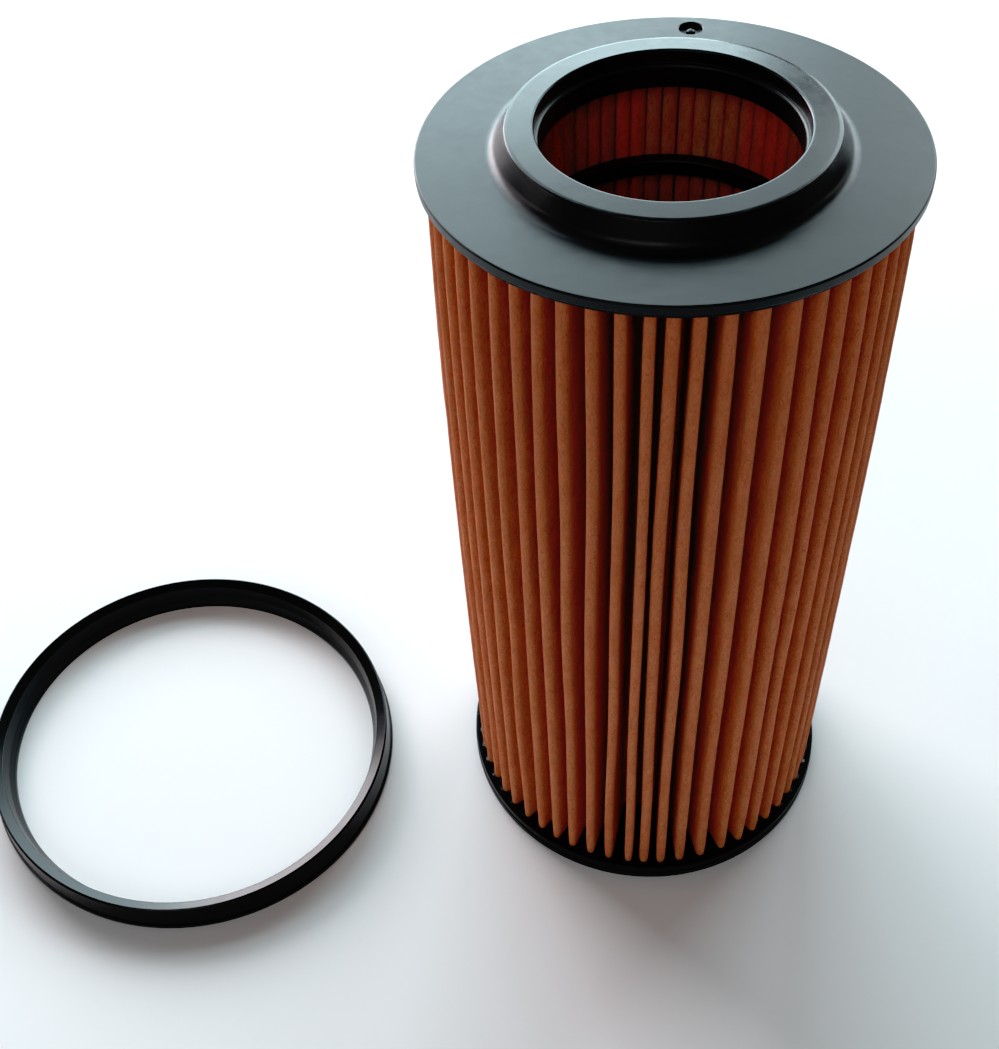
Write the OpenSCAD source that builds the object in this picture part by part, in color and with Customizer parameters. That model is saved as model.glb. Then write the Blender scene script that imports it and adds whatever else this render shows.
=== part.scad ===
// Cartridge oil filter and its cover seal.
// A pleated paper element is held between two moulded end caps, and the loose
// profile seal of the housing cover lies beside it on the same surface.
// Millimetres. +Z is the element's axis. The origin is on that axis in the base plane.

/* [Element] */
// Overall height, from the base to the top of the collar
total_h = 172; // [120:1:240]
// Bore of the two lands, where the housing's standpipe passes
bore_d = 42.5; // [40:0.5:43]
// Outer diameter of the top flange
flange_d = 83; // [78:0.5:83.5]
// Outer diameter of the bottom cap
base_d = 84; // [84:0.5:98]

/* [Top cap] */
// Height of the raised collar above the flange
collar_h = 4.2; // [3.4:0.1:8]
// Outer diameter at the top of the collar
collar_top_d = 53.4; // [51:0.2:55]
// Diameter where the round at the collar's foot meets the flange
collar_foot_d = 59.6; // [59:0.2:63]
// Thickness of the flange at its edge
flange_t = 1.7; // [1.5:0.1:2.6]
// Depth of the bore through the collar and flange
throat_h = 6.6; // [6.3:0.1:12]
// Diameter of the bore's wide mouth, above its land
mouth_d = 44; // [43.8:0.1:46]
// Depth of the wide mouth
mouth_depth = 2.4; // [1.6:0.1:3]
// Diameter of the moulding gate's recess in the flange
gate_d = 4.3; // [2.4:0.1:5]
// Diameter of the stub left in the middle of the recess
gate_stub_d = 1.7; // [1:0.1:2]

/* [Bottom cap] */
// Thickness of the bottom cap's plate
base_plate_t = 2; // [1.4:0.1:3]
// Height of the bottom cap's rim above the base plane
base_rim_h = 4.2; // [3.6:0.1:7]

/* [Paper] */
// Number of pleats
pleats = 56; // [40:1:60]
// Thickness of the filter paper
paper_t = 0.6; // [0.4:0.05:0.7]
// Width of a pleat over its rounded outer fold
fold_w = 2; // [1.8:0.1:2.3]

/* [Support rings] */
// Height of each support ring
support_h = 3.1; // [2:0.1:6]
// Distance from the top of the collar down to the upper support ring
support_depth = 21.6; // [14:0.2:50]

/* [Cover seal] */
// Mean diameter of the seal
seal_d = 96; // [80:0.5:110]
// Height of the seal
seal_h = 7.3; // [6:0.1:10]
// Distance of the seal's centre to the left of the element's axis
seal_left = 112.7; // [108:0.1:160]
// Distance of the seal's centre in front of the element's axis
seal_front = 14.3; // [0:0.1:60]

/* [Hidden] */
$fn = 96;

// Radii of the caps
flange_r = flange_d / 2;
base_r = base_d / 2;
bore_r = bore_d / 2;
relief_depth = 0.65;
relief_r = bore_r + relief_depth;
tube_wall = 1.6;
tube_r = relief_r + tube_wall;
rim_t = 1.1;
edge_r = 0.35;

// Heights of the top cap
flange_z = total_h - collar_h;
flange_under_z = flange_z - flange_t;
throat_end_z = total_h - throat_h;
mouth_r = mouth_d / 2;
shoulder = mouth_r - bore_r;
foot_fillet = 1.5;
wall_lean_deg = 28;
bond_recess = 0.3;
top_bond_h = 1;
top_bond_z = flange_under_z + bond_recess - top_bond_h;

// Heights of the bottom cap
base_land_h = 2.6;
base_throat_h = 6.6;
bond_below_rim = 0.2;
bottom_bond_z = base_rim_h - bond_below_rim;

// The paper runs a little way into each bond
top_sink = 0.4;
bottom_sink = 1.2;
paper_z0 = bottom_bond_z - bottom_sink;
paper_z1 = top_bond_z + top_sink;

// Folds of the paper: centres and radii of the round bends
fold_clearance = 0.8;
fold_in_r = tube_r + fold_clearance;
fold_out_r = flange_r - 1;
bend_out = fold_w / 2;
gap_in = 0.25;
bend_in = gap_in + paper_t;
pitch_deg = 360 / pleats;

support_gap = 0.05;
support_out_r = fold_in_r - support_gap;
support_in_r = relief_r;
support_bevel = 0.3;
seam_deg = floor(pleats / 4) * pitch_deg;

gate_r = 37.4 * flange_r / 41.5;
gate_deg = 86;
gate_depth = 1;
gate_stub_h = 0.75;

// Section of the cover seal
lip_in = seal_d / 2 - 0.55;
lip_out = lip_in + 1.65;
lip_drop = 0.4;
foot_in = lip_in - 2.75;
foot_out = lip_out + 1.25;
foot_h = 1.2;

cap_colour = [0.09, 0.1, 0.1];
bond_colour = [0.05, 0.055, 0.06];
paper_colour = [0.6, 0.31, 0.18];
seam_colour = [0.78, 0.7, 0.52];
seal_colour = [0.06, 0.065, 0.07];

// Points of an arc about [x, y], from angle a0 to a1 in n steps
function arc(x, y, r, a0, a1, n) =
    [for (i = [0 : n]) let (a = a0 + (a1 - a0) * i / n) [x + r * cos(a), y + r * sin(a)]];

// A point of a fold whose bend is centred at radius c in the direction deg
function fold_point(deg, c, r, a) =
    [(c + r * cos(a)) * cos(deg) - r * sin(a) * sin(deg),
     (c + r * cos(a)) * sin(deg) + r * sin(a) * cos(deg)];

// One closed wave around the axis, offset inwards from the paper's outer face by inset
function wave(inset) = [
    for (i = [0 : pleats - 1]) each [
        for (a = [-90 : 45 : 90])
            fold_point(i * pitch_deg, fold_out_r - bend_out, bend_out - inset, a),
        for (a = [270 : -90 : 90])
            fold_point((i + 0.5) * pitch_deg, fold_in_r + bend_in, gap_in + inset, a)
    ]
];

// The paper's section, with its ends at z0 and z1
module paper_prism(z0, z1) {
    translate([0, 0, z0])
        linear_extrude(height = z1 - z0)
            difference() {
                polygon(wave(0));
                polygon(wave(paper_t));
            }
}

// A flat ring with square corners
module ring(r_in, r_out, z0, z1) {
    translate([0, 0, z0])
        rotate_extrude()
            translate([r_in, 0])
                square([r_out - r_in, z1 - z0]);
}

// A ring whose inner edges are bevelled
module support_ring(z0) {
    b = support_bevel;
    translate([0, 0, z0])
        rotate_extrude()
            polygon([
                [support_in_r + b, 0],
                [support_out_r, 0],
                [support_out_r, support_h],
                [support_in_r + b, support_h],
                [support_in_r, support_h - b],
                [support_in_r, b]
            ]);
}

// The moulding gate's recess, cut down from the plane z = 0, with its stub left standing
module gate_recess() {
    difference() {
        translate([0, 0, -gate_depth])
            cylinder(h = gate_depth + 1, d = gate_d);
        translate([0, 0, -gate_depth - 1])
            cylinder(h = gate_stub_h + 1, d = gate_stub_d);
    }
}

module top_end_cap() {
    collar_r = collar_top_d / 2;
    foot_r = collar_foot_d / 2;
    shoulder_z = total_h - mouth_depth;
    color(cap_colour)
        difference() {
            rotate_extrude()
                polygon(concat(
                    arc(mouth_r + edge_r, total_h - edge_r, edge_r, 180, 90, 3),
                    arc(collar_r - edge_r, total_h - edge_r, edge_r, 90, 0, 3),
                    arc(foot_r, flange_z + foot_fillet, foot_fillet, 180 + wall_lean_deg, 270, 5),
                    arc(flange_r - edge_r, flange_z - edge_r, edge_r, 90, 0, 2),
                    [
                        [flange_r, flange_under_z],
                        [flange_r - rim_t / 2, flange_under_z],
                        [flange_r - rim_t / 2, flange_under_z + bond_recess],
                        [tube_r, flange_under_z + bond_recess],
                        [tube_r, throat_end_z],
                        [bore_r, throat_end_z],
                        [bore_r, shoulder_z - shoulder],
                        [mouth_r, shoulder_z]
                    ]
                ));
            rotate([0, 0, gate_deg])
                translate([gate_r, 0, flange_z])
                    gate_recess();
        }
}

module bottom_end_cap() {
    rim_in = base_r - rim_t;
    color(cap_colour)
        rotate_extrude()
            polygon(concat(
                [
                    [bore_r, 0]
                ],
                arc(base_r - edge_r, edge_r, edge_r, -90, 0, 2),
                arc(base_r - edge_r, base_rim_h - edge_r, edge_r, 0, 90, 2),
                [
                    [rim_in, base_rim_h],
                    [rim_in, base_plate_t],
                    [tube_r, base_plate_t],
                    [tube_r, base_throat_h],
                    [relief_r, base_throat_h],
                    [relief_r, base_land_h + 0.5],
                    [bore_r, base_land_h]
                ]
            ));
}

module top_bond() {
    color(bond_colour)
        difference() {
            ring(tube_r, flange_r - rim_t / 2, top_bond_z, top_bond_z + top_bond_h);
            paper_prism(top_bond_z - 1, paper_z1);
        }
}

module bottom_bond() {
    color(bond_colour)
        difference() {
            ring(tube_r, base_r - rim_t, base_plate_t, bottom_bond_z);
            paper_prism(paper_z0, bottom_bond_z + 1);
        }
}

module pleated_paper() {
    color(paper_colour)
        paper_prism(paper_z0, paper_z1);
}

// The bead of adhesive that joins the paper's two ends inside one pleat
module side_seam() {
    seam_t = fold_w - 2 * paper_t - 0.04;
    r_out = fold_out_r - bend_out;
    r_in = fold_in_r + 0.3 * (r_out - fold_in_r);
    color(seam_colour)
        rotate([0, 0, seam_deg])
            translate([r_in, -seam_t / 2, bottom_bond_z])
                cube([r_out - r_in, seam_t, top_bond_z - bottom_bond_z]);
}

module upper_support_ring() {
    color(cap_colour)
        support_ring(total_h - support_depth - support_h);
}

module lower_support_ring() {
    color(cap_colour)
        support_ring(support_depth);
}

// A wedge section: a wide ribbed foot below, and a narrow lip on top that falls towards the centre
module cover_seal() {
    color(seal_colour)
        translate([-seal_left, -seal_front, 0])
            rotate_extrude()
                polygon([
                    [foot_in, 0],
                    [foot_out, 0],
                    [foot_out, foot_h],
                    [foot_out - 0.5, foot_h + 0.5],
                    [lip_out, seal_h - 0.3],
                    [lip_out - 0.3, seal_h],
                    [lip_in, seal_h - lip_drop],
                    [lip_in - 0.6, 4.6],
                    [lip_in - 0.2, 4.1],
                    [lip_in - 1.3, 3.3],
                    [lip_in - 1.5, 2.7],
                    [lip_in - 0.9, 2.1],
                    [foot_in, foot_h]
                ]);
}

top_end_cap();
top_bond();
pleated_paper();
side_seam();
upper_support_ring();
lower_support_ring();
bottom_bond();
bottom_end_cap();
cover_seal();
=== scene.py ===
"""Looks of a cartridge oil filter and its loose cover seal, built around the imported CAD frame.

Lengths are in millimetres in the names and profiles below, and MM turns them into metres.
"""
import math

import bpy
import numpy as np
from mathutils import Matrix, Vector


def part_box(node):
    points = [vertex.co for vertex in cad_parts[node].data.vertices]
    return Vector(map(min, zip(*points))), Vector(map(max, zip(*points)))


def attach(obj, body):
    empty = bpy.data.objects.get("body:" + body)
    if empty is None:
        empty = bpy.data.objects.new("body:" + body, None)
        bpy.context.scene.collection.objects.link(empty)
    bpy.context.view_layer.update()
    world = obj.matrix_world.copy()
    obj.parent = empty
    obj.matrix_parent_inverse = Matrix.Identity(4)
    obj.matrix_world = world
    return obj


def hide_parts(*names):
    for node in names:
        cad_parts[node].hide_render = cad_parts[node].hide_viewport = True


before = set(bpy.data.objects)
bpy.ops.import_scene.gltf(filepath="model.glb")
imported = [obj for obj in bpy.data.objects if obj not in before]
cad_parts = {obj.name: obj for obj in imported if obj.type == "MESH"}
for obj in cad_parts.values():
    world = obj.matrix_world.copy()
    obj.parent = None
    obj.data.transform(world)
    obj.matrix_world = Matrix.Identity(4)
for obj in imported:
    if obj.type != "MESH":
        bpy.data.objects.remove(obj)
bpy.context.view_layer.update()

MM = 0.001
TAU = 2 * math.pi
rng = np.random.default_rng(11)


# ---------------------------------------------------------------- sizes from the frame

def box_mm(node):
    """The lowest and highest corners of a CAD node at rest."""
    low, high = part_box(node)
    return np.array(low) / MM, np.array(high) / MM


cap_low, cap_high = box_mm("top_end_cap")
base_high = box_mm("bottom_end_cap")[1]
paper_low, paper_high = box_mm("pleated_paper")
bond_high = box_mm("bottom_bond")[1]
top_bond_low, top_bond_high = box_mm("top_bond")
ring_low, ring_high = box_mm("upper_support_ring")
seal_low, seal_high = box_mm("cover_seal")

# Top cap
TOTAL_H = cap_high[2]
FLANGE_R = (cap_high[0] - cap_low[0]) / 2
COLLAR_H = 4.2
FLANGE_T = 1.7
FLANGE_Z = TOTAL_H - COLLAR_H
FLANGE_UNDER_Z = FLANGE_Z - FLANGE_T
THROAT_END_Z = cap_low[2]
COLLAR_TOP_R = 26.75
COLLAR_FOOT_R = 28.7
MOUTH_R = 22.0
MOUTH_DEPTH = 2.4
BORE_R = 21.25
RELIEF_DEPTH = 0.65
RELIEF_R = BORE_R + RELIEF_DEPTH
TUBE_WALL = 1.6
TUBE_R = RELIEF_R + TUBE_WALL
BOND_RECESS = 0.3
GATE_R = 37.4
GATE_DEG = 86

# Bottom cap
BASE_R = base_high[1]
BASE_TUBE_Z = base_high[2]
BASE_PLATE_T = 2.0
BASE_LAND_H = 2.6
RIM_T = 1.1
BOND_Z = bond_high[2]
BASE_RIM_Z = BOND_Z + 0.2

# Paper, with the bends of its inner folds VALLEY_R wide and pressed flat by VALLEY_FLAT
FOLD_OUT_R = FLANGE_R - 1.0
FOLD_IN_R = TUBE_R + 0.8
PAPER_T = 0.6
PLEATS = 56
FIRST_FOLD_DEG = -2.4
VALLEY_R = 0.745
VALLEY_FLAT = 0.55
SEAM_PLEAT = 14
SEAM_IN_R = box_mm("side_seam")[0][1]

# Support rings and cover seal
SUPPORT_R = ring_high[0]
SUPPORT_H = ring_high[2] - ring_low[2]
SEAL_CENTRE = (seal_low + seal_high) / 2
SEAL_H = seal_high[2]
SEAL_LIP_R = 49.55
SEAL_LIP_W = 2.65


# ---------------------------------------------------------------- mesh helpers

SMOOTH_DEG = 32


def new_object(name, verts_mm, faces, smooth_deg=SMOOTH_DEG):
    """A mesh object from points in millimetres and a face list, shaded smooth below smooth_deg."""
    mesh = bpy.data.meshes.new(name)
    mesh.from_pydata([tuple(v) for v in np.asarray(verts_mm) * MM], [], faces)
    mesh.polygons.foreach_set("use_smooth", [True] * len(mesh.polygons))
    mesh.set_sharp_from_angle(angle=math.radians(smooth_deg))
    mesh.update()
    obj = bpy.data.objects.new(name, mesh)
    bpy.context.scene.collection.objects.link(obj)
    return obj


def rounded(corners, steps=6, support=0.12):
    """A closed outline from corners (x, y, radius), each rounded, with a point just past each round."""
    room = 4 * support
    out = []
    for i, corner in enumerate(corners):
        p = np.array(corner[:2], float)
        before = np.array(corners[i - 1][:2], float) - p
        after = np.array(corners[(i + 1) % len(corners)][:2], float) - p
        u, v = before / np.linalg.norm(before), after / np.linalg.norm(after)
        radius = corner[2]
        if radius <= 0:
            out.append(p)
            continue
        half = math.acos(max(-1.0, min(1.0, float(u @ v)))) / 2
        reach = radius / math.tan(half)
        centre = p + (u + v) / np.linalg.norm(u + v) * radius / math.sin(half)
        start, end = p + u * reach, p + v * reach
        a0 = math.atan2(*(start - centre)[::-1])
        a1 = math.atan2(*(end - centre)[::-1])
        turn = (a1 - a0 + math.pi) % TAU - math.pi
        if np.linalg.norm(before) > reach + room:
            out.append(start + u * support)
        for k in range(steps + 1):
            a = a0 + turn * k / steps
            out.append(centre + radius * np.array([math.cos(a), math.sin(a)]))
        if np.linalg.norm(after) > reach + room:
            out.append(end + v * support)
    return np.array(out)


def lathe(name, outline, segments, warp=None):
    """The closed outline (r, z) turned about Z. warp maps the (n, 3) points if given."""
    n = len(outline)
    angle = np.arange(segments) * TAU / segments
    r, z = outline[:, 0], outline[:, 1]
    x = np.outer(np.cos(angle), r)
    y = np.outer(np.sin(angle), r)
    verts = np.stack([x, y, np.broadcast_to(z, x.shape)], axis=2).reshape(-1, 3)
    if warp is not None:
        verts = warp(verts)
    faces = []
    for s in range(segments):
        a, b = s * n, (s + 1) % segments * n
        for k in range(n):
            m = (k + 1) % n
            faces.append((a + k, b + k, b + m, a + m))
    return new_object(name, verts, faces)


def make(name, build, body, replaced, material):
    """Builds one piece, gives it its material and places it on its body."""
    obj = build(name)
    obj.data.materials.clear()
    obj.data.materials.append(material)
    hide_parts(*replaced)
    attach(obj, body)
    return obj


# ---------------------------------------------------------------- material helpers

class Shader:
    """A node material with one Principled shader, built up call by call."""

    def __init__(self, name, colour, roughness, **sockets):
        self.material = bpy.data.materials.new(name)
        self.material.use_nodes = True
        self.nodes = self.material.node_tree.nodes
        self.links = self.material.node_tree.links
        self.bsdf = next(n for n in self.nodes if n.type == "BSDF_PRINCIPLED")
        self.bsdf.inputs["Base Color"].default_value = (*colour, 1)
        self.bsdf.inputs["Roughness"].default_value = roughness
        for socket, value in sockets.items():
            self.bsdf.inputs[socket.replace("_", " ")].default_value = value
        self.coords = self.nodes.new("ShaderNodeTexCoord").outputs["Object"]

    def mapped(self, scale):
        """Object coordinates in metres times scale, given as one number or three."""
        node = self.nodes.new("ShaderNodeMapping")
        node.inputs["Scale"].default_value = scale if isinstance(scale, tuple) else (scale,) * 3
        self.links.new(self.coords, node.inputs["Vector"])
        return node.outputs["Vector"]

    def noise(self, scale, detail, rough, distortion=0.0):
        """Noise from 0 to 1, with about scale lumps to the metre."""
        node = self.nodes.new("ShaderNodeTexNoise")
        node.inputs["Scale"].default_value = 1.0
        node.inputs["Detail"].default_value = detail
        node.inputs["Roughness"].default_value = rough
        node.inputs["Distortion"].default_value = distortion
        self.links.new(self.mapped(scale), node.inputs["Vector"])
        return node.outputs["Fac"]

    def ramp(self, value, low, high, to_low=0.0, to_high=1.0):
        """A smooth step from to_low, where value is low, to to_high, where it is high."""
        node = self.nodes.new("ShaderNodeMapRange")
        node.interpolation_type = "SMOOTHSTEP"
        limits = {"From Min": low, "From Max": high, "To Min": to_low, "To Max": to_high}
        for socket, number in limits.items():
            node.inputs[socket].default_value = number
        self.links.new(value, node.inputs["Value"])
        return node.outputs["Result"]

    def math(self, operation, a, b):
        """One arithmetic step on two values, each a number or a socket."""
        node = self.nodes.new("ShaderNodeMath")
        node.operation = operation
        for socket, value in zip(node.inputs, (a, b)):
            if isinstance(value, (int, float)):
                socket.default_value = value
            else:
                self.links.new(value, socket)
        return node.outputs[0]

    def mix(self, factor, a, b):
        """Mixes two colours, each a triple or a socket."""
        node = self.nodes.new("ShaderNodeMix")
        node.data_type = "RGBA"
        for socket, value in ((node.inputs[0], factor), (node.inputs[6], a), (node.inputs[7], b)):
            if isinstance(value, (int, float)):
                socket.default_value = value
            elif isinstance(value, tuple):
                socket.default_value = (*value, 1)
            else:
                self.links.new(value, socket)
        return node.outputs[2]

    def radius(self):
        """Distance from the element's axis, in metres."""
        flat = self.nodes.new("ShaderNodeVectorMath")
        flat.operation = "MULTIPLY"
        flat.inputs[1].default_value = (1, 1, 0)
        self.links.new(self.coords, flat.inputs[0])
        length = self.nodes.new("ShaderNodeVectorMath")
        length.operation = "LENGTH"
        self.links.new(flat.outputs[0], length.inputs[0])
        return length.outputs["Value"]

    def height(self):
        """Height above the base plane, in metres."""
        node = self.nodes.new("ShaderNodeSeparateXYZ")
        self.links.new(self.coords, node.inputs[0])
        return node.outputs["Z"]

    def bump(self, heights):
        """heights is a list of (socket, strength, distance in metres); each bump feeds the next."""
        normal = None
        for value, strength, distance in heights:
            node = self.nodes.new("ShaderNodeBump")
            node.inputs["Strength"].default_value = strength
            node.inputs["Distance"].default_value = distance
            self.links.new(value, node.inputs["Height"])
            if normal is not None:
                self.links.new(normal, node.inputs["Normal"])
            normal = node.outputs["Normal"]
        self.links.new(normal, self.bsdf.inputs["Normal"])

    def set(self, socket, value):
        """Drives one of the shader's own sockets."""
        self.links.new(value, self.bsdf.inputs[socket])


# ---------------------------------------------------------------- materials

def cap_plastic(name, ior):
    """Moulded black nylon: satin on the flange, glossier on the collar's worn top, with a fine grain."""
    s = Shader(name, (0.004, 0.0045, 0.005), 0.36, IOR=ior)
    cloud = s.noise(70, 4, 0.6, distortion=0.5)
    mottle = s.noise(520, 3, 0.6)
    grain = s.noise(4200, 2, 0.5)
    mark = s.noise((1500, 90, 400), 2, 0.5)
    collar_top = s.ramp(s.height(), (TOTAL_H - 0.9) * MM, (TOTAL_H - 0.2) * MM)
    tone = s.ramp(cloud, 0.35, 0.75)
    s.set("Base Color", s.mix(tone, (0.0030, 0.0035, 0.0040), (0.0055, 0.0062, 0.0068)))
    rough = s.math("ADD", s.ramp(cloud, 0.3, 0.72, 0.32, 0.375), s.ramp(mottle, 0.3, 0.7, -0.02, 0.03))
    rough = s.math("ADD", rough, s.ramp(mark, 0.66, 0.76, 0.0, 0.03))
    s.set("Roughness", s.math("SUBTRACT", rough, s.math("MULTIPLY", collar_top, 0.12)))
    s.bump([(cloud, 0.3, 0.00016), (mottle, 0.22, 0.000015), (grain, 0.15, 0.000005)])
    return s.material


def bond_resin():
    """Set adhesive: black, glossy, with small ripples and wet patches round the pleats' feet."""
    s = Shader("black_bond", (0.003, 0.0035, 0.004), 0.25, IOR=1.36)
    ripple = s.noise(260, 3, 0.6, distortion=1.0)
    fine = s.noise(1500, 2, 0.5)
    s.set("Roughness", s.ramp(ripple, 0.3, 0.7, 0.25, 0.6))
    tone = s.ramp(fine, 0.35, 0.7)
    s.set("Base Color", s.mix(tone, (0.0022, 0.0026, 0.0030), (0.0050, 0.0055, 0.0060)))
    s.bump([(ripple, 0.6, 0.0006), (fine, 0.3, 0.00006)])
    return s.material


def filter_paper():
    """Resin-cured cellulose paper: orange brown, fibrous, paler on the folds, with a painted red glow in
    the bore for light shining through the sheet, and painted shade towards the top.
    """
    s = Shader("filter_paper", (0.55, 0.12, 0.04), 0.85,
               IOR=1.4, Sheen_Weight=0.08, Sheen_Roughness=0.4)
    s.bsdf.inputs["Specular IOR Level"].default_value = 0.15
    s.bsdf.inputs["Sheen Tint"].default_value = (1.0, 0.6, 0.38, 1)
    s.bsdf.inputs["Subsurface Weight"].default_value = 0.6
    s.bsdf.inputs["Subsurface Radius"].default_value = (1.0, 0.14, 0.05)
    s.bsdf.inputs["Subsurface Scale"].default_value = 0.0008
    cloud = s.noise((130, 130, 40), 4, 0.6, distortion=0.5)
    blotch = s.noise((420, 420, 170), 3, 0.6, distortion=0.6)
    streak = s.noise((1500, 1500, 60), 3, 0.6)
    felt = s.noise((1300, 1300, 520), 4, 0.75, distortion=2.5)
    fibre = s.noise((2600, 2600, 900), 4, 0.7, distortion=2.0)
    speck = s.noise(3000, 2, 0.6)
    fold = s.ramp(s.radius(), (FOLD_OUT_R - 1.9) * MM, (FOLD_OUT_R - 0.3) * MM)
    deep = s.ramp(s.radius(), (FOLD_IN_R + 1.0) * MM, (FOLD_OUT_R - 3.0) * MM)
    # Painted glow: bright red streaks on the paper deep in the bore stand in for light shining through the
    # sheet.
    painted_glow_streaks = s.noise((230, 230, 10), 2, 0.5)
    painted_glow_inside = s.mix(s.ramp(painted_glow_streaks, 0.46, 0.58), (0.58, 0.38, 0.28), (0.95, 0.18, 0.09))
    body = s.mix(deep, painted_glow_inside, (0.76, 0.205, 0.082))
    body = s.mix(s.ramp(cloud, 0.3, 0.72, 0.0, 0.4), body, (0.60, 0.150, 0.060))
    body = s.mix(s.ramp(streak, 0.35, 0.7, 0.0, 0.3), body, (0.78, 0.25, 0.12))
    body = s.mix(fold, body, (0.68, 0.232, 0.122))
    body = s.mix(s.ramp(blotch, 0.35, 0.68, 0.0, 0.45), body, (0.52, 0.142, 0.062))
    body = s.mix(s.ramp(felt, 0.36, 0.5, 0.5, 0.0), body, (0.38, 0.080, 0.030))
    body = s.mix(s.ramp(felt, 0.56, 0.7, 0.0, 0.5), body, (0.88, 0.34, 0.17))
    body = s.mix(s.ramp(speck, 0.62, 0.76, 0.0, 0.5), body, (0.88, 0.40, 0.22))
    # Painted shade: the paper darkens towards its top, below the flange.
    body = s.mix(s.ramp(s.height(), 0.07, 0.165, 0.0, 0.32), body, (0.40, 0.120, 0.058))
    body = s.mix(s.ramp(fibre, 0.3, 0.5, 0.4, 0.0), body, (0.27, 0.055, 0.020))
    s.set("Base Color", body)
    s.set("Roughness", s.ramp(fibre, 0.3, 0.7, 0.75, 0.95))
    s.bump([(blotch, 0.6, 0.00016), (streak, 0.4, 0.00014), (felt, 0.9, 0.00028), (fibre, 0.8, 0.00018)])
    return s.material


def fold_fibre():
    """Loose fibres of the paper, paler than the sheet."""
    s = Shader("fold_fibre", (0.8, 0.36, 0.18), 0.8)
    tone = s.noise(900, 2, 0.5)
    s.set("Base Color", s.mix(s.ramp(tone, 0.4, 0.6), (0.66, 0.22, 0.09), (0.85, 0.45, 0.26)))
    s.bump([(s.noise(4000, 2, 0.5), 0.3, 0.00002)])
    return s.material


def seam_adhesive():
    """Dull amber adhesive, slightly uneven."""
    s = Shader("seam_adhesive", (0.30, 0.09, 0.03), 0.5, IOR=1.48)
    ripple = s.noise((500, 500, 90), 3, 0.6)
    s.set("Base Color", s.mix(s.ramp(ripple, 0.3, 0.7), (0.24, 0.06, 0.02), (0.40, 0.14, 0.05)))
    s.set("Roughness", s.ramp(ripple, 0.3, 0.7, 0.35, 0.6))
    s.bump([(ripple, 0.6, 0.0003)])
    return s.material


def seal_rubber():
    """Smooth moulded black rubber with a soft sheen, faint bloom and dust."""
    s = Shader("seal_rubber", (0.004, 0.0043, 0.0046), 0.3, IOR=1.35)
    bloom = s.noise(120, 4, 0.6, distortion=0.4)
    skin = s.noise(2600, 2, 0.5)
    dust = s.noise(5200, 2, 0.6)
    rubber = s.mix(s.ramp(bloom, 0.35, 0.7), (0.0030, 0.0032, 0.0034), (0.0065, 0.0068, 0.0072))
    s.set("Base Color", s.mix(s.ramp(dust, 0.68, 0.78, 0.0, 0.25), rubber, (0.05, 0.05, 0.05)))
    s.set("Roughness", s.ramp(bloom, 0.3, 0.7, 0.19, 0.24))
    s.bump([(bloom, 0.1, 0.0001), (skin, 0.15, 0.000012)])
    return s.material


def lint_fibre():
    """Pale stray fibres and dust."""
    s = Shader("lint_fibre", (0.62, 0.56, 0.5), 0.8)
    tone = s.noise(700, 2, 0.5)
    s.set("Base Color", s.mix(s.ramp(tone, 0.4, 0.6), (0.55, 0.42, 0.33), (0.72, 0.7, 0.68)))
    s.bump([(s.noise(4000, 2, 0.5), 0.3, 0.00002)])
    return s.material


def floor_surface():
    """A plain pale floor."""
    s = Shader("pale_floor", (0.86, 0.86, 0.86), 0.75)
    tone = s.noise(3, 2, 0.5)
    s.set("Base Color", s.mix(s.ramp(tone, 0.3, 0.7), (0.85, 0.85, 0.85), (0.87, 0.87, 0.87)))
    s.bsdf.inputs["Specular IOR Level"].default_value = 0.1
    return s.material


# ---------------------------------------------------------------- end caps

def gate_cutter():
    """The shape that leaves the moulding gate's round recess with a small stub in its middle."""
    above = 0.5
    stub_r, stub_top, stub_shoulder = 0.72, -0.18, -0.5
    floor_z, wall_r, edge_r = -1.0, 2.12, 2.3
    outline = rounded([
        (0, above, 0),
        (0, stub_top, 0),
        (stub_r, stub_shoulder, 0.12),
        (stub_r + 0.13, floor_z, 0),
        (wall_r - 0.22, floor_z + 0.08, 0.25),
        (wall_r, -0.12, 0.06),
        (edge_r, 0, 0),
        (edge_r + 0.2, above, 0)
    ], steps=4, support=1.0)
    return lathe("gate_cutter", outline, segments=64)


def cut_gate(cap):
    """Cuts the moulding gate's recess into the top cap."""
    cutter = gate_cutter()
    gate = math.radians(GATE_DEG)
    at_gate = Vector((GATE_R * math.cos(gate), GATE_R * math.sin(gate), FLANGE_Z)) * MM
    cutter.data.transform(Matrix.Translation(at_gate))
    modifier = cap.modifiers.new("gate", "BOOLEAN")
    modifier.operation = "DIFFERENCE"
    modifier.solver = "EXACT"
    modifier.object = cutter
    bpy.context.view_layer.objects.active = cap
    bpy.ops.object.modifier_apply(modifier="gate")
    bpy.data.objects.remove(cutter)
    cap.data.polygons.foreach_set("use_smooth", [True] * len(cap.data.polygons))
    cap.data.set_sharp_from_angle(angle=math.radians(SMOOTH_DEG))


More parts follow.
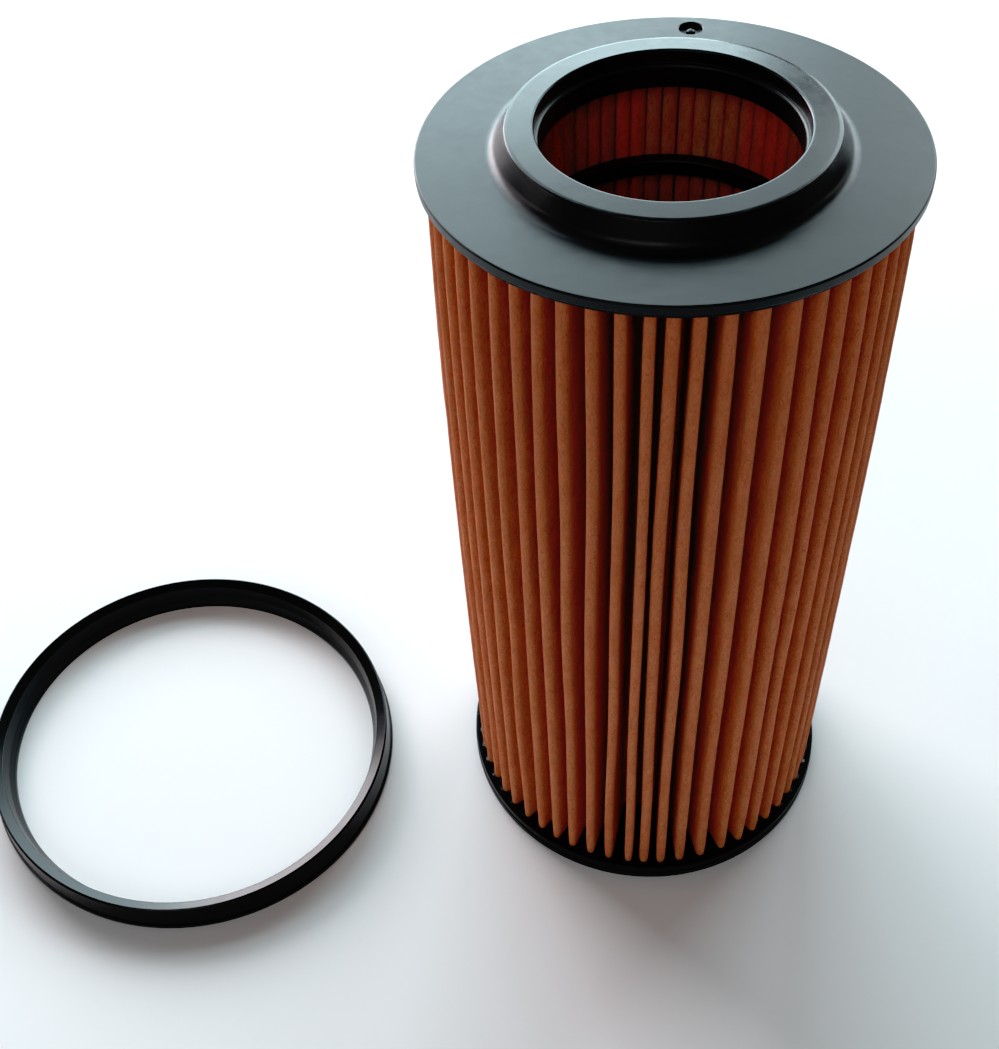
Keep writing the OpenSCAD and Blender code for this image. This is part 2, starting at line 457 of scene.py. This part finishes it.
def build_top_cap(name):
    """A flat flange with a raised collar, whose top falls very slightly towards its outer edge."""
    recess_r = FLANGE_R - RIM_T / 2
    outline = rounded([
        (MOUTH_R, TOTAL_H, 0.4),
        (MOUTH_R, TOTAL_H - MOUTH_DEPTH + 0.05, 0.1),
        (BORE_R, TOTAL_H - MOUTH_DEPTH - 0.05, 0.62),
        (BORE_R, THROAT_END_Z, 0.25),
        (TUBE_R, THROAT_END_Z, 0.2),
        (TUBE_R, FLANGE_UNDER_Z + BOND_RECESS, 0),
        (recess_r, FLANGE_UNDER_Z + BOND_RECESS, 0),
        (recess_r, FLANGE_UNDER_Z, 0.12),
        (FLANGE_R, FLANGE_UNDER_Z, 0.18),
        (FLANGE_R, FLANGE_Z, 0.3),
        (COLLAR_FOOT_R, FLANGE_Z, 2.2),
        (COLLAR_TOP_R, TOTAL_H - 0.26, 0.35),
        (COLLAR_TOP_R - 0.6, TOTAL_H - 0.16, 1.2)
    ])
    cap = lathe(name, outline, segments=360)
    cut_gate(cap)
    return cap


def build_bottom_cap(name):
    """A plate with a low rim, which steps in a little half way up, and a short tube round the bore."""
    step_z, step = 1.9, 0.12
    outline = rounded([
        (BORE_R, 0, 0.15),
        (BASE_R, 0, 0.35),
        (BASE_R, step_z, 0),
        (BASE_R - step, step_z + 0.15, 0),
        (BASE_R - step, BASE_RIM_Z, 0.35),
        (BASE_R - RIM_T, BASE_RIM_Z, 0.2),
        (BASE_R - RIM_T, BASE_PLATE_T, 0),
        (TUBE_R, BASE_PLATE_T, 0),
        (TUBE_R, BASE_TUBE_Z, 0.2),
        (RELIEF_R, BASE_TUBE_Z, 0.2),
        (RELIEF_R, BASE_LAND_H + 0.5, 0.25),
        (BORE_R, BASE_LAND_H, 0.25)
    ])
    return lathe(name, outline, segments=360)


def build_support(z0):
    """A support ring whose lower face is at z0."""
    def build(name):
        outline = rounded([
            (RELIEF_R, z0, 0.4),
            (SUPPORT_R, z0, 0.25),
            (SUPPORT_R, z0 + SUPPORT_H, 0.25),
            (RELIEF_R, z0 + SUPPORT_H, 0.4)
        ], steps=5)
        return lathe(name, outline, segments=240)
    return build


# ---------------------------------------------------------------- pleated paper

TIP_STEPS = 8
VALLEY_STEPS = 5
FLANK_STEPS = 2

# The pleats crowd together beside the front and stand wider apart just past it
CROWD_AT_DEG = 283
CROWD_SPREAD_DEG = 11
CROWD_SHIFT_DEG = 2.2

# Seeded departures from an even pack: shares of the pitch, radians, and the rest millimetres
OUTER_SCATTER = 0.045
VALLEY_SCATTER = 0.012
WANDER = 0.0055
FOLD_HALF_W = 1.02
HALF_W_SCATTER = 0.06
DEPTH_MEAN = -0.08
DEPTH_SCATTER = 0.1
FLANK_BELLY = 0.1
SHEET_ROUGH = 0.018


def swell(t):
    """How far the pack's outside bulges between its ends: pinched under the flange, full in the middle."""
    middle, top_pinch, foot_pinch = 0.42, 0.55, 0.25
    bulge = middle * np.sin(math.pi * t)
    return bulge - top_pinch * np.exp((t - 1) / 0.1) - foot_pinch * np.exp(-t / 0.012)


class Folds:
    """Where each fold runs: small seeded departures from an even pack, varying with height."""

    def __init__(self):
        pitch = TAU / PLEATS
        even = np.arange(PLEATS) * pitch + math.radians(FIRST_FOLD_DEG)
        front = (np.degrees(even) - CROWD_AT_DEG + 180) % 360 - 180
        crowd = -math.radians(CROWD_SHIFT_DEG) * np.exp(-(front / CROWD_SPREAD_DEG) ** 2)
        self.outer = even + crowd + rng.normal(0, OUTER_SCATTER, PLEATS) * pitch
        self.valley = even + pitch / 2 + 0.3 * crowd + rng.normal(0, VALLEY_SCATTER, PLEATS) * pitch
        self.half = FOLD_HALF_W + rng.normal(0, HALF_W_SCATTER, PLEATS)
        self.depth = rng.normal(DEPTH_MEAN, DEPTH_SCATTER, PLEATS)
        self.phase = rng.uniform(0, TAU, (6, PLEATS))
        self.size = rng.normal(0, 1, (6, PLEATS))

    def wander(self, t, kind):
        """A smooth wave of about unit size along the height for every pleat; t runs from 0 to 1.

        Kind 0 is for straying sideways, and kind 1 for the width and depth.
        """
        first = 3 * kind
        waves = [self.size[first + k] * np.sin(TAU * (0.7 + 1.1 * k) * t + self.phase[first + k]) / (1 + k)
                 for k in range(3)]
        return sum(waves) / 1.6

    def at(self, t):
        """Outer angle, valley angle, half width and depth of every pleat at height t."""
        hold = 1 - 0.6 * (2 * t - 1) ** 6
        foot = np.exp(-t / 0.014)
        outer = self.outer + WANDER * self.wander(t, 0) * hold
        half = self.half * (1 + 0.04 * self.wander(t, 1)) * (1 - 0.3 * foot)
        depth = swell(t) + (self.depth + 0.1 * self.wander(t, 1)) * hold
        return outer, self.valley, half, depth


def wave_ring(folds, t, inset):
    """Points of one closed wave at height t, offset inwards from the paper's outer face by inset."""
    outer, valley, half, depth = folds.at(t)
    tip = np.linspace(-90, 90, TIP_STEPS + 1)
    dip = np.linspace(270, 90, VALLEY_STEPS + 1)

    def bend(direction, centre, radius, degrees, flat=0.0):
        """Points of one bend about centre, shallower than its radius by flat."""
        a = np.radians(degrees)
        u, v = centre + (radius - flat) * np.cos(a), radius * np.sin(a)
        c, s = math.cos(direction), math.sin(direction)
        return np.stack([u * c - v * s, u * s + v * c], axis=1)

    bends = []
    valley_centre = FOLD_IN_R + VALLEY_R + PAPER_T - VALLEY_FLAT
    for i in range(PLEATS):
        reach = FOLD_OUT_R + depth[i] - half[i]
        bends.append(bend(outer[i], reach, half[i] - inset, tip))
        bends.append(bend(valley[i], valley_centre, VALLEY_R + inset, dip, VALLEY_FLAT))
    points = []
    for i, arc in enumerate(bends):
        nxt = bends[(i + 1) % len(bends)]
        points.append(arc)
        gap = np.linspace(0, 1, FLANK_STEPS + 2)[1:-1, None]
        flank = arc[-1] * (1 - gap) + nxt[0] * gap
        along = nxt[0] - arc[-1]
        side = np.array([-along[1], along[0]]) / np.linalg.norm(along)
        belly = FLANK_BELLY * math.sin(folds.phase[i % 6, i // 2] + 5 * t)
        points.append(flank + side * belly * np.sin(math.pi * gap))
    return np.concatenate(points)


def build_paper(folds, levels):
    """The folded sheet with its real thickness, built ring by ring up the heights in levels."""
    def build(name):
        low, high = levels[0], levels[-1]
        layers = []
        for z in levels:
            t = (z - low) / (high - low)
            for inset in (0.0, PAPER_T):
                ring = wave_ring(folds, t, inset)
                layers.append(np.column_stack([ring, np.full(len(ring), z)]))
        n = len(layers[0])
        verts = np.concatenate(layers)
        radial = verts[:, :2] / np.linalg.norm(verts[:, :2], axis=1)[:, None]
        verts[:, :2] += radial * rng.normal(0, SHEET_ROUGH, len(verts))[:, None]
        j = np.arange(n)
        k = (j + 1) % n
        faces = []
        for level in range(len(levels) - 1):
            a, b = 2 * level * n, (2 * level + 2) * n
            faces.append(np.stack([a + j, a + k, b + k, b + j], axis=1))
            faces.append(np.stack([a + n + k, a + n + j, b + n + j, b + n + k], axis=1))
        last = 2 * (len(levels) - 1) * n
        faces.append(np.stack([n + j, n + k, k, j], axis=1))
        faces.append(np.stack([last + j, last + k, last + n + k, last + n + j], axis=1))
        return new_object(name, verts, np.concatenate(faces).tolist(), smooth_deg=60)
    return build


def paper_heights():
    """Heights of the sheet's rings, closer together at both ends, where the folds are pinched."""
    low, high = paper_low[2], paper_high[2]
    return np.concatenate([
        np.linspace(low, low + 5, 9),
        np.linspace(low + 7, high - 8, 31),
        np.linspace(high - 6.5, high, 6)
    ])


# ---------------------------------------------------------------- bonds

def build_bond(low, high, r_in, r_out, folds, t, up):
    """A bed of adhesive whose open face climbs a little up the paper at every pleat.

    The folds are taken at height t of the paper. The open face is the upper one if up is true.
    """
    climb_h, climb_reach = 0.42, 0.35
    edge_h, edge_reach = 0.12, 0.3
    uneven_h = 0.06

    def build(name):
        rings = np.linspace(r_in, r_out, 34)
        steps = PLEATS * 20
        angles = np.arange(steps) * TAU / steps
        outer, _, half, depth = folds.at(t)
        r_grid, a_grid = np.meshgrid(rings, angles)
        away = np.full(r_grid.shape, 1e9)
        for i in range(PLEATS):
            turn = (a_grid - outer[i] + math.pi) % TAU - math.pi
            across = np.abs(r_grid * np.sin(turn))
            along = r_grid * np.cos(turn) - (FOLD_OUT_R + depth[i] - half[i])
            gap = np.hypot(across, np.maximum(along, 0)) - half[i]
            same_side = np.abs(turn) < 0.3
            away = np.where(same_side, np.minimum(away, gap), away)
        climb = climb_h * np.exp(-np.maximum(away, 0) / climb_reach)
        edge = edge_h * np.exp(-(r_out - r_grid) / edge_reach)
        uneven = uneven_h * np.sin(7 * a_grid + 1.3) * np.sin(0.9 * r_grid)
        rise = climb + edge + uneven
        face = high - 0.18 + rise if up else low + 0.05 - rise
        open_side = np.stack([r_grid * np.cos(a_grid), r_grid * np.sin(a_grid), face], axis=2)
        back = open_side.copy()
        back[:, :, 2] = low if up else high
        count, across_n = r_grid.shape
        verts = np.concatenate([open_side.reshape(-1, 3), back.reshape(-1, 3)])
        offset = count * across_n
        faces = []
        for a in range(count):
            b = (a + 1) % count
            for k in range(across_n - 1):
                near, far = a * across_n + k, b * across_n + k
                quad = (near, near + 1, far + 1, far)
                under = tuple(q + offset for q in reversed(quad))
                faces += [quad, under] if up else [quad[::-1], under[::-1]]
            for k in (0, across_n - 1):
                near, far = a * across_n + k, b * across_n + k
                wall = (near, far, far + offset, near + offset)
                faces.append(wall if (k == 0) == up else wall[::-1])
        return new_object(name, verts, faces, smooth_deg=50)
    return build


# ---------------------------------------------------------------- side seam

def build_seam(folds):
    """The bead of adhesive between the two walls of one pleat, uneven along its length."""
    half_t, half_t_sway, inner_sway = 0.22, 0.03, 0.5

    def build(name):
        heights = np.linspace(BOND_Z - 0.4, THROAT_END_Z - 0.2, 60)
        outline = rounded([(-1, -1, 0.5), (1, -1, 0.5), (1, 1, 0.5), (-1, 1, 0.5)], steps=3, support=0.3)
        n = len(outline)
        verts = []
        for z in heights:
            t = (z - paper_low[2]) / (paper_high[2] - paper_low[2])
            outer, _, half, depth = folds.at(t)
            angle = outer[SEAM_PLEAT]
            r_in = SEAM_IN_R + inner_sway * math.sin(0.31 * z)
            r_out = FOLD_OUT_R + depth[SEAM_PLEAT] - half[SEAM_PLEAT]
            u = (r_in + r_out) / 2 + outline[:, 0] * (r_out - r_in) / 2
            v = outline[:, 1] * (half_t + half_t_sway * math.sin(0.8 * z))
            c, s = math.cos(angle), math.sin(angle)
            verts.append(np.column_stack([u * c - v * s, u * s + v * c, np.full(n, z)]))
        faces = []
        for level in range(len(heights) - 1):
            for k in range(n):
                m = (k + 1) % n
                faces.append((level * n + k, level * n + m, (level + 1) * n + m, (level + 1) * n + k))
        faces.append(tuple(reversed(range(n))))
        faces.append(tuple((len(heights) - 1) * n + k for k in range(n)))
        return new_object(name, np.concatenate(verts), faces)
    return build


# ---------------------------------------------------------------- cover seal

def build_seal(name):
    """The wedge profile turned into a ring and slightly flexed, as a loose rubber ring lies."""
    lip_out, lip_in = SEAL_LIP_R, SEAL_LIP_R - SEAL_LIP_W
    foot_in, foot_out, foot_h = lip_in - 1.6, lip_out + 0.8, 1.2
    outline = rounded([
        (foot_in, 0, 0.25),
        (foot_out, 0, 0.3),
        (foot_out, foot_h, 0.25),
        (foot_out - 0.4, foot_h + 0.5, 0.2),
        (lip_out, SEAL_H - 0.3, 0.25),
        (lip_out - 0.35, SEAL_H, 0.3),
        (lip_in, SEAL_H - 0.98, 0.3),
        (lip_in - 0.35, 4.6, 0.8),
        (lip_in - 0.6, 3.2, 0.6),
        (lip_in - 1.1, 2.1, 0.4),
        (foot_in + 0.1, foot_h, 0.25)
    ], steps=4)
    flexed, flexed_deg = 1.4, -31.4
    crept = np.array((-0.4, -0.33))

    def flex(points):
        """Makes the ring oval, and moves its middle to where it has crept."""
        out = points.copy()
        angle = np.arctan2(points[:, 1], points[:, 0])
        radius = np.hypot(points[:, 0], points[:, 1])
        radius += flexed * np.cos(2 * (angle - math.radians(flexed_deg)))
        out[:, 0] = radius * np.cos(angle)
        out[:, 1] = radius * np.sin(angle)
        out[:, :2] += SEAL_CENTRE[:2] + crept
        return out
    return lathe(name, outline, segments=300, warp=flex)


# ---------------------------------------------------------------- lint and stray fibres

def build_fibres(starts, directions, lengths, radius, curl):
    """Thin bent three-sided strands in one mesh, in millimetres."""
    def build(name):
        verts, faces = [], []
        steps, sides = 4, 3
        for start, direction, length in zip(starts, directions, lengths):
            d = direction / np.linalg.norm(direction)
            side = np.cross(d, rng.normal(0, 1, 3))
            side /= np.linalg.norm(side)
            other = np.cross(d, side)
            sway = rng.normal(0, curl * length)
            base = len(verts)
            for k in range(steps + 1):
                f = k / steps
                centre = start + d * length * f + side * sway * f * f
                thin = radius * (1 - 0.6 * f)
                for m in range(sides):
                    a = TAU * m / sides
                    verts.append(centre + thin * (math.cos(a) * side + math.sin(a) * other))
            for k in range(steps):
                here = base + sides * k
                above = here + sides
                for m in range(sides):
                    n = (m + 1) % sides
                    faces.append((here + m, here + n, above + n, above + m))
            faces.append(tuple(base + m for m in reversed(range(sides))))
            faces.append(tuple(base + sides * steps + m for m in range(sides)))
        return new_object(name, verts, faces, smooth_deg=60)
    return build


def fold_fuzz(folds, count):
    """Fibres that stand up from the outer folds."""
    sunk = 0.06
    starts, directions = [], []
    for _ in range(count):
        i = rng.integers(PLEATS)
        t = rng.uniform(0.02, 0.98)
        outer, _, half, depth = folds.at(t)
        angle = math.radians(rng.uniform(-70, 70))
        u = FOLD_OUT_R + depth[i] - half[i] + (half[i] - sunk) * math.cos(angle)
        v = (half[i] - sunk) * math.sin(angle)
        c, s = math.cos(outer[i]), math.sin(outer[i])
        z = paper_low[2] + t * (paper_high[2] - paper_low[2])
        starts.append(np.array([u * c - v * s, u * s + v * c, z]))
        out = outer[i] + angle
        outward = np.array([math.cos(out), math.sin(out), 0])
        directions.append(outward * 0.55 + rng.normal(0, 0.6, 3))
    lengths = rng.uniform(0.25, 0.95, count)
    return build_fibres(starts, directions, lengths, radius=0.022, curl=0.35)


def bond_lint(count):
    """Specks and short fibres that lie on the bottom bond and rim."""
    angles = rng.uniform(0, TAU, count)
    radii = rng.uniform(FOLD_OUT_R - 1.5, BASE_R - 1.2, count)
    z = BASE_RIM_Z + 0.04
    starts = [np.array([r * math.cos(a), r * math.sin(a), z]) for r, a in zip(radii, angles)]
    directions = [np.array([math.cos(a), math.sin(a), 0.08]) for a in rng.uniform(0, TAU, count)]
    lengths = rng.choice([0.2, 0.35, 0.9], count, p=[0.5, 0.3, 0.2])
    return build_fibres(starts, directions, lengths, radius=0.04, curl=0.3)


# ---------------------------------------------------------------- stage, lights and camera

def build_floor():
    """A wide square floor, a hair below the base plane."""
    half, z = 6.0, -0.00002
    corners = [(-half, -half, z), (half, -half, z), (half, half, z), (-half, half, z)]
    mesh = bpy.data.meshes.new("floor")
    mesh.from_pydata(corners, [], [(0, 1, 2, 3)])
    mesh.materials.append(floor_surface())
    floor = bpy.data.objects.new("floor", mesh)
    bpy.context.scene.collection.objects.link(floor)


def softbox(name, azimuth, elevation, distance, width, height, radiance, colour):
    """A rectangular light aimed at the element's top; radiance is what a mirror would see of it.

    Azimuth is clockwise from +Y and elevation upwards from level, both in degrees. Distance, width
    and height are in metres.
    """
    data = bpy.data.lights.new(name, "AREA")
    data.shape = "RECTANGLE"
    data.size = width
    data.size_y = height
    data.energy = radiance * math.pi * width * height
    data.color = colour
    light = bpy.data.objects.new(name, data)
    a, e = math.radians(azimuth), math.radians(elevation)
    target = Vector((0, 0, TOTAL_H * MM))
    away = Vector((math.sin(a) * math.cos(e), math.cos(a) * math.cos(e), math.sin(e)))
    light.location = target + away * distance
    light.rotation_euler = away.to_track_quat("Z", "Y").to_euler()
    light.visible_camera = False
    bpy.context.scene.collection.objects.link(light)


def build_lights():
    """A broad low window behind, brightest on the left, with weak fill from the sides and the front."""
    softbox("window_left", -42, 17.5, 1.6, 0.72, 0.74, 14.0, (1.0, 0.95, 1.0))
    softbox("window_centre", -13, 19.5, 1.6, 1.0, 0.86, 8.0, (0.71, 0.94, 1.0))
    softbox("window_right", 27, 22, 1.6, 0.76, 1.0, 6.2, (0.80, 0.95, 1.0))
    softbox("window_upper", -24, 41.5, 1.6, 1.6, 0.36, 3.3, (0.76, 0.94, 1.0))
    softbox("left_band", -86, 12, 1.8, 1.3, 0.5, 1.8, (1.0, 0.95, 0.97))
    softbox("right_band", 66, 12, 1.8, 1.3, 0.5, 0.9, (1.0, 0.96, 0.96))
    softbox("front_light", 196, 38, 2.2, 1.6, 1.2, 1.6, (1.0, 0.99, 0.98))
    world = bpy.data.worlds.new("studio")
    world.use_nodes = True
    background = next(n for n in world.node_tree.nodes if n.type == "BACKGROUND")
    background.inputs["Color"].default_value = (1.0, 1.0, 1.0, 1)
    background.inputs["Strength"].default_value = 0.08
    bpy.context.scene.world = world


TONE_POINTS = ((0.006, 0.0018), (0.022, 0.004), (0.04, 0.0215), (0.09, 0.079))


def set_tone():
    """A plain tone curve with deepened blacks."""
    view = bpy.context.scene.view_settings
    view.view_transform = "Standard"
    view.use_curve_mapping = True
    curve = view.curve_mapping.curves[3]
    for x, y in TONE_POINTS:
        curve.points.new(x, y)
    for point in curve.points:
        point.handle_type = "VECTOR"
    view.curve_mapping.update()


def build_camera():
    """A hand-held camera above and in front of the element, with its place in metres, angles in radians."""
    place = (0, -0.19116, 0.28795)
    yaw, pitch, roll = -0.16896, 0.83512, -0.07693
    ahead = Vector((math.sin(yaw) * math.cos(pitch), math.cos(yaw) * math.cos(pitch), -math.sin(pitch)))
    level = Vector((math.cos(yaw), -math.sin(yaw), 0))
    upward = level.cross(ahead)
    right = level * math.cos(roll) + upward * math.sin(roll)
    up = upward * math.cos(roll) - level * math.sin(roll)
    data = bpy.data.cameras.new("camera")
    data.lens = 45.98
    data.sensor_width = 36.0
    camera = bpy.data.objects.new("camera", data)
    turn = Matrix((right, up, -ahead)).transposed().to_4x4()
    camera.matrix_world = Matrix.Translation(place) @ turn
    bpy.context.scene.collection.objects.link(camera)
    bpy.context.scene.camera = camera


# ---------------------------------------------------------------- assembly

build_camera()
build_lights()
build_floor()

satin_plastic = cap_plastic("satin_black_nylon", 1.4)
dull_plastic = cap_plastic("dull_black_nylon", 1.22)
resin = bond_resin()
paper = filter_paper()
rubber = seal_rubber()
lint = lint_fibre()
fuzz = fold_fibre()

make("top_cap", build_top_cap, "element", ["top_end_cap"], satin_plastic)
make("bottom_cap", build_bottom_cap, "element", ["bottom_end_cap"], dull_plastic)
upper_ring = build_support(ring_low[2])
lower_ring = build_support(box_mm("lower_support_ring")[0][2])
make("support_ring_upper", upper_ring, "element", ["upper_support_ring"], satin_plastic)
make("support_ring_lower", lower_ring, "element", ["lower_support_ring"], satin_plastic)

folds = Folds()
make("paper_pleats", build_paper(folds, paper_heights()), "element", ["pleated_paper"], paper)
make("bond_bottom", build_bond(BASE_PLATE_T, BOND_Z, TUBE_R, BASE_R - RIM_T, folds, 0.0, True),
     "element", ["bottom_bond"], resin)
make("bond_top",
     build_bond(top_bond_low[2], top_bond_high[2], TUBE_R, FLANGE_R - RIM_T / 2, folds, 1.0, False),
     "element", ["top_bond"], resin)
make("fold_fuzz", fold_fuzz(folds, 5200), "element", [], fuzz)
make("bond_lint", bond_lint(60), "element", [], lint)
make("seam_bead", build_seam(folds), "element", ["side_seam"], seam_adhesive())
make("profile_seal", build_seal, "seal", ["cover_seal"], rubber)

set_tone()
